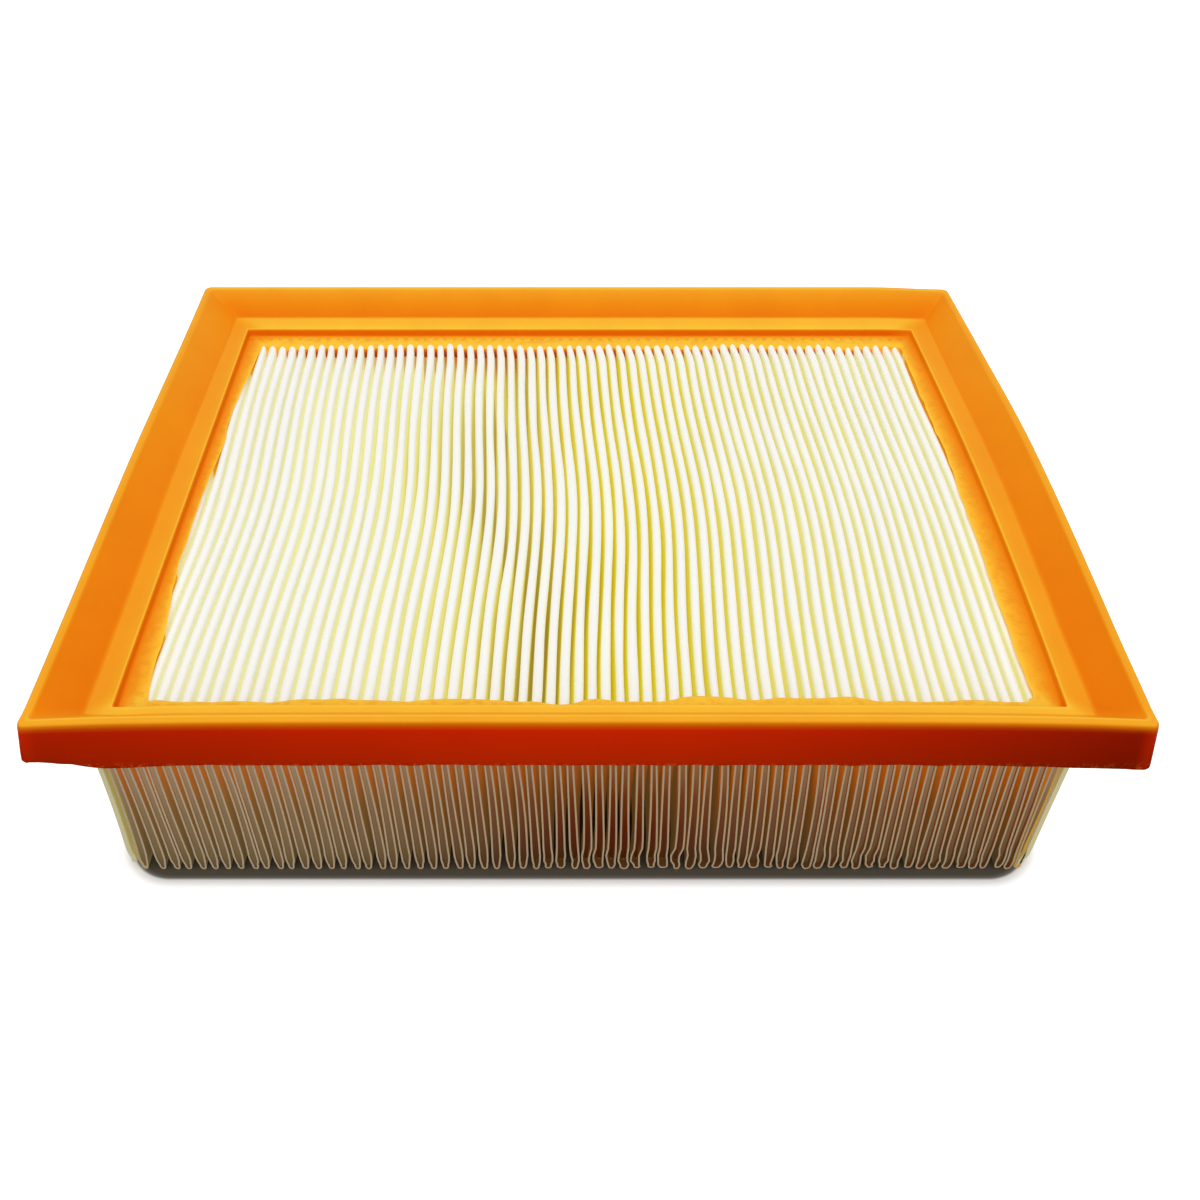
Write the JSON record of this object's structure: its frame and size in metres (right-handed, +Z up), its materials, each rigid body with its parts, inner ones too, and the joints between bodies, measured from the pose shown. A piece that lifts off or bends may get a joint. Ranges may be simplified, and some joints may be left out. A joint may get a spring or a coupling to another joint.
{
  "type": "air filter",
  "caption": "Rectangular panel air filter with a soft cast sealing flange round a deep pack of pleated paper.",
  "frame": {"origin": "middle of the footprint, at the level of the lowest folds of the paper pack", "axes": "+Z up through the open dished side, +X across the pleats along the long side, +Y along the pleats towards the rear"},
  "size_m": [0.2672, 0.2122, 0.0585],
  "materials": {
    "cast_polyurethane": "soft satin orange",
    "filter_paper": "matt off-white",
    "hot_melt": "dull translucent amber"
  },
  "bodies": {
    "root": {"seal_frame": "cast_polyurethane", "pleated_media": "filter_paper", "front_edge_seals": "hot_melt", "rear_edge_seals": "hot_melt"}
  },
  "joints": []
}
